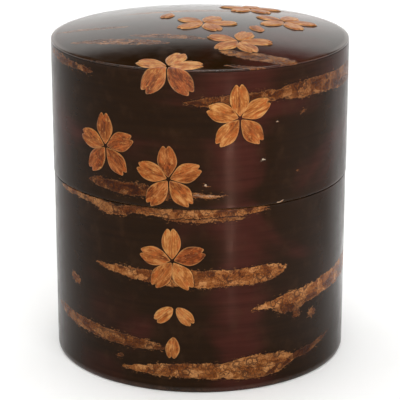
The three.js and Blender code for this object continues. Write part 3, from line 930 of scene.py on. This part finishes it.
def lay_petal(
    name, body, nodes, surface, heading, foot=petal_foot, scale=1.0, rows=18, darkness=0.0, fullness=1.0,
):
    """A petal heading at an angle in degrees from the right. The surface takes s to the right,
    t upwards and a distance off itself, all in mm, and gives a point."""
    angle = math.radians(heading)
    seed = len(bpy.data.meshes) * 1.37
    halves = (0, 0.04, 0.1, 0.2, 0.32, 0.44, 0.56, 0.68, 0.78, 0.86, 0.93, 1)
    sides = [-side for side in reversed(halves[1:])] + list(halves)
    eased = [0.5 - 0.5 * math.cos(math.pi * row / (rows - 1)) for row in range(rows)]
    shares = [0.45 * share + 0.55 * row / (rows - 1) for row, share in enumerate(eased)]

    def point(share, side, off, out):
        """Where a point lies, and its place on the petal. Out moves the rim's points outwards."""
        waver = 1 + 0.025 * math.sin(9 * share + seed) * abs(side)
        long = foot + scale * share * length_at(side) + out * (share > 0.999)
        wide = scale * side * width_at(share, fullness) * waver
        wide += math.copysign(out, side) * (abs(side) > 0.999)
        s = long * math.cos(angle) - wide * math.sin(angle)
        t = long * math.sin(angle) + wide * math.cos(angle)
        return surface(s, t, off), (long - foot, wide)

    vertices = []
    cuts = []
    edges = []
    for top in (True, False):
        for share in shares:
            for side in sides:
                from_side = (1 - abs(side)) * width_at(share, fullness) * scale
                from_tip = (1 - share) * length_at(side) * scale
                from_foot = share * petal_length * scale
                inset = min(from_side, from_tip, from_foot)
                on_edge = abs(side) > 0.999 or share in (shares[0], shares[-1])
                if top:
                    wide = side * width_at(share, fullness) * scale
                    bevelled = ease(inset / bevel_width)
                    scored = vein_depth * math.exp(-(wide / vein_width) ** 2)
                    scored *= ease(share * 8) * ease((0.86 - share) * 6)
                    dished = dish_depth * ease(1 - abs(abs(side) - 0.5) * 2.4) * bevelled
                    off = petal_wall + (petal_face - petal_wall) * bevelled - scored - dished
                    place, here = point(share, side, off, 0.0)
                    edges.append((inset, 0.0, darkness))
                else:
                    narrow = min(1, share * 5 + 0.2)
                    place, here = point(share, side, 0.01, shadow_skirt_width * narrow if on_edge else 0.0)
                    edges.append((0.0, 1.0, darkness))
                vertices.append(place * mm)
                cuts.append((*here, seed))
    columns = len(sides)
    count = rows * columns
    faces = []
    for row in range(rows - 1):
        for column in range(columns - 1):
            first = row * columns + column
            loop = (first, first + columns, first + columns + 1, first + 1)
            faces.append(loop)
            faces.append(tuple(index + count for index in reversed(loop)))
    rim = [row * columns for row in range(rows - 1)]
    rim += [(rows - 1) * columns + column for column in range(columns - 1)]
    rim += [row * columns + columns - 1 for row in range(rows - 1, 0, -1)]
    rim += list(range(columns - 1, 0, -1))
    for start, end in zip(rim, rim[1:] + rim[:1]):
        faces.append((start, start + count, end + count, end))
    mesh = bpy.data.meshes.new(name)
    mesh.from_pydata(vertices, [], faces)
    mesh.flip_normals()
    for label, rows_of_three in (("cut", cuts), ("edge", edges)):
        numbers = [number for three in rows_of_three for number in three]
        mesh.attributes.new(label, "FLOAT_VECTOR", "POINT").data.foreach_set("vector", numbers)
    mesh.shade_smooth()
    mesh.set_sharp_from_angle(angle=math.radians(50))
    petal = bring_in(name, mesh)
    finish = top_petal_bark if vertices[0].z > dome(lid_radius) * mm else side_petal_bark
    return fit(petal, finish, body, "light_bark", *nodes)


def side_face(radius, edge, along, up):
    """A side face, from a place along the arc from the front line and up from an edge's height.
    Along and up are in blossom reaches."""
    start = along * blossom_reach
    height = edge + up * blossom_reach

    def surface(s, t, off):
        turn = (start + s) / radius
        return Vector(((radius + off) * math.sin(turn), -(radius + off) * math.cos(turn), height + t))
    return surface


def on_top(along, back):
    """The domed top, from a place in blossom reaches right of and behind its middle."""
    def surface(s, t, off):
        x = along * blossom_reach + s
        y = back * blossom_reach + t
        return Vector((x, y, dome(math.hypot(x, y)) + off))
    return surface


def inside_rim(along, inset):
    """The top near the rim, with s along the edge and t towards the axis."""
    turn = along / lid_radius

    def surface(s, t, off):
        back = inset + t - lid_radius
        x = s * math.cos(turn) - back * math.sin(turn)
        y = s * math.sin(turn) + back * math.cos(turn)
        return Vector((x, y, dome(math.hypot(x, y)) + off))
    return surface


def over_rim(along, inset):
    """From the top, round the soft rim and down the side."""
    bend = 0.5  # radius of the fold
    slope = math.degrees(math.asin(lid_radius / dome_sphere))
    full_turn = math.radians(90 - slope)
    tangent = bend * math.tan(full_turn / 2)

    def surface(s, t, off):
        turn = (along + s) / lid_radius
        up = t + inset
        if up > tangent:
            radius, height = lid_radius - up, dome(lid_radius - up) + off
        elif up < -tangent:
            radius, height = lid_radius + off, rim_height + up
        else:
            lean = full_turn * (up + tangent) / (2 * tangent)
            radius = lid_radius - bend + (bend + off) * math.cos(lean)
            height = rim_height - tangent + (bend + off) * math.sin(lean)
        return Vector((radius * math.sin(turn), -radius * math.cos(turn), height))
    return surface


def lay_blossom(name, body, surface, headings, darkness=(0, 0, 0, 0, 0), node=None):
    """Five petals round a centre. A node is given where the CAD model has them all in one."""
    for index, heading in enumerate(headings):
        cad_node = node or f"{name}_petal_{index + 1}"
        lay_petal(
            f"{name}_cut_petal_{index + 1}", body, [cad_node], surface, heading, darkness=darkness[index]
        )


lay_blossom(
    "lid_left_blossom", "lid", side_face(lid_radius, lid_mouth, -2.98, 1.67),
    [93, 166, 233, 312, 21], (0.6, 0.6, 1.0, 0.75, 1.2),
)
lay_blossom(
    "lid_seam_blossom", "lid", side_face(lid_radius, lid_mouth, -0.925, 0.9),
    [94, 160, 233, 310, 21], (0.6, 0.35, 0.5, 0.35, 0.4),
)
# These petals have the lowest darkness of the blossoms. That is partly their own tone and partly painted
# light: they are made paler where the light near the front highlight falls.
lay_blossom(
    "lid_right_blossom", "lid", side_face(lid_radius, rim_height, 1.17, -1.455),
    [92, 161, 230, 311, 26], (0.0, -0.2, 0.12, 0.35, -0.05),
)
lay_blossom(
    "body_blossom", "caddy_body", side_face(body_radius, body_mouth, -0.825, -1.607),
    [93, 168, 236, 303, 18], (0.1, 0.3, 0.4, 0.15, 0.85),
)

loose_scale = 0.72
loose_foot = -loose_scale * petal_length / 2
loose_petals = [
    ("body_loose_petal_left", "caddy_body", side_face(body_radius, body_mouth, -1.08, -3.315), 221, 0.0),
    ("body_loose_petal_right", "caddy_body", side_face(body_radius, body_mouth, -0.465, -3.337), 312, 0.1),
    ("body_loose_petal_low", "caddy_body", side_face(body_radius, body_mouth, -0.825, -4.37), 264, 0.3),
    ("top_loose_petal_left", "lid", on_top(-1.01, 0.84), 250, 0.2),
    ("top_loose_petal_right", "lid", on_top(1.74, -0.84), 110, 0.35),
]
for name, body, surface, heading, darkness in loose_petals:
    lay_petal(
        name.replace("petal", "cut_petal"), body, [name], surface, heading,
        foot=loose_foot, scale=loose_scale, darkness=darkness, fullness=0.7,
    )

# The blossom over the rim: three petals on the top, and two folded down the side.
rim_along = -0.966 * blossom_reach
rim_inset = 0.19 * blossom_reach
folded_scale = 1.12
for index, heading in enumerate([79, 165, 15]):
    lay_petal(
        f"rim_blossom_cut_petal_{index + 1}", "lid", [f"rim_blossom_petal_{index + 1}"],
        inside_rim(rim_along, rim_inset), heading, darkness=-0.5,
    )
for index, heading in enumerate([232, 309]):
    lay_petal(
        f"rim_blossom_cut_petal_{index + 4}", "lid", [f"rim_blossom_petal_{index + 4}"],
        over_rim(rim_along, rim_inset), heading, scale=folded_scale, rows=44, darkness=0.45 + 0.3 * index,
    )

lay_blossom("top_front_blossom", "lid", on_top(1.157, -2.27), [73, 155, 229, 295, 3])
lay_blossom("top_middle_blossom", "lid", on_top(0.135, -0.337), [66, 140, 220, 294, 0])
lay_blossom("top_right_blossom", "lid", on_top(2.64, 0.45), [72, 145, 225, 295, 8], node="top_right_blossom")
back_turn = math.radians(58)
back_inset = 1.55  # from the blossom's centre to the rim
back_reach = lid_radius / blossom_reach - back_inset
lay_blossom(
    "top_back_blossom", "lid",
    on_top(back_reach * math.cos(back_turn), back_reach * math.sin(back_turn)),
    [85, 160, 238, 302, 15], node="top_back_blossom",
)


# ------------------------
# Studio. A pale table lit from below, brighter farther out, under a dark ceiling with soft light
# low all round. A softbox hangs overhead, with a small key and a narrow rim light in front. Strip
# lights lying on the table out of sight give the upright highlights in the polish.

floor_half = 4.0
floor_corners = [(-floor_half, -floor_half), (floor_half, -floor_half)]
floor_corners += [(floor_half, floor_half), (-floor_half, floor_half)]
floor_mesh = bpy.data.meshes.new("floor")
floor_mesh.from_pydata([(*corner, 0) for corner in floor_corners], [], [(0, 1, 2, 3)])
floor = bring_in("floor", floor_mesh)
floor_finish, shader = start_material("pale light table", Specular_IOR_Level=0.1, Emission_Strength=1.0)
position = put("TexCoord").outputs["Object"]
mottle = put("TexNoise", {"Vector": position, "Scale": 60.0, "Detail": 3.0}).outputs["Fac"]
distance_out = put("VectorMath", {0: position}, operation="LENGTH").outputs["Value"]
share_out = calculate("DIVIDE", distance_out, floor_half)
light_table = shades(share_out, (0.08, (0.13,) * 3), (0.35, (0.8,) * 3))
feed(shader.inputs["Emission Color"], light_table)
paper_colour = shades(mottle, (0.3, (0.86, 0.86, 0.855)), (0.7, (0.885, 0.885, 0.88)))
finish_material(shader, paper_colour, between(mottle, 0.3, 0.7, 0.75, 0.85), mottle, 0.02)
floor_mesh.materials.append(floor_finish)

world = bpy.data.worlds.new("studio")
bpy.context.scene.world = world
world.use_nodes = True
bench["tree"] = world.node_tree
background = world.node_tree.nodes["Background"].inputs
sky = split(put("TexCoord").outputs["Generated"])[2]
glow = between(sky, 0.46, 0.36, 0.0, 1.25)
feed(background["Strength"], glow)
feed(background["Color"], (1.0, 0.985, 0.96, 1))

white = (1, 1, 1)


def add_light(name, place, target, size, power, colour=white):
    """A rectangular light at a place, turned towards a target, in metres and watts."""
    light = bpy.data.lights.new(name, "AREA")
    light.shape = "RECTANGLE"
    light.size, light.size_y = size
    light.energy = power
    light.color = colour
    lamp = bring_in(name, light)
    lamp.location = place
    lamp.rotation_euler = (Vector(target) - Vector(place)).to_track_quat("-Z", "Y").to_euler()
    lamp.visible_camera = False
    return lamp


def add_strip(name, heading, near, far, width, power, colour=white):
    """A strip light lying on the table, facing up, that only shows as a reflection in the bark.
    It runs out from near the caddy's axis to far, at a heading in degrees from the front."""
    turn = math.radians(heading)
    reach = (near + far) / 2
    lamp = add_light(name, (0, 0, 0), (0, 0, 1), (width, far - near), power, colour)
    lamp.location = (reach * math.sin(turn), -reach * math.cos(turn), 0.002)
    lamp.rotation_euler = (math.pi, 0, turn)


middle = (0, 0, 0.045)
add_light("overhead softbox", (-0.05, 0.2, 1.1), middle, (1.1, 1.1), 12.5)
add_light("key light", (-0.16, -0.82, 0.72), middle, (0.3, 0.3), 1.5, (1, 0.96, 0.90))
add_light("rim light", (0.20, -0.62, 0.78), (0, 0, 0.09), (0.5, 0.035), 3.0)
warm = (1, 0.56, 0.42)
add_strip("front strip, near", 19.5, 0.085, 0.150, 0.007, 0.007, warm)
add_strip("front strip, middle", 20.5, 0.150, 0.245, 0.011, 0.080, warm)
add_strip("front strip, far", 21, 0.245, 0.350, 0.019, 0.17, warm)
add_strip("broad side strip", 72, 0.055, 0.330, 0.120, 0.035)
add_strip("side strip", 122, 0.060, 0.340, 0.060, 0.022)

camera_data = bpy.data.cameras.new("camera")
camera = bring_in("camera", camera_data)
bpy.context.scene.camera = camera
camera_distance = 12.781  # in lid radii, as is the height that it looks at
camera_aim = 1.01337
elevation = math.radians(17.847)
radius = lid_radius * mm
target = Vector((0, 0, camera_aim * radius))
backwards = Vector((0, -math.cos(elevation), math.sin(elevation)))
camera.location = target + camera_distance * radius * backwards
camera.rotation_euler = (target - camera.location).to_track_quat("-Z", "Y").to_euler()
camera_data.sensor_width = 36
camera_data.lens = 166.4
camera_data.clip_start = 0.01
bpy.context.scene.view_settings.view_transform = "Standard"
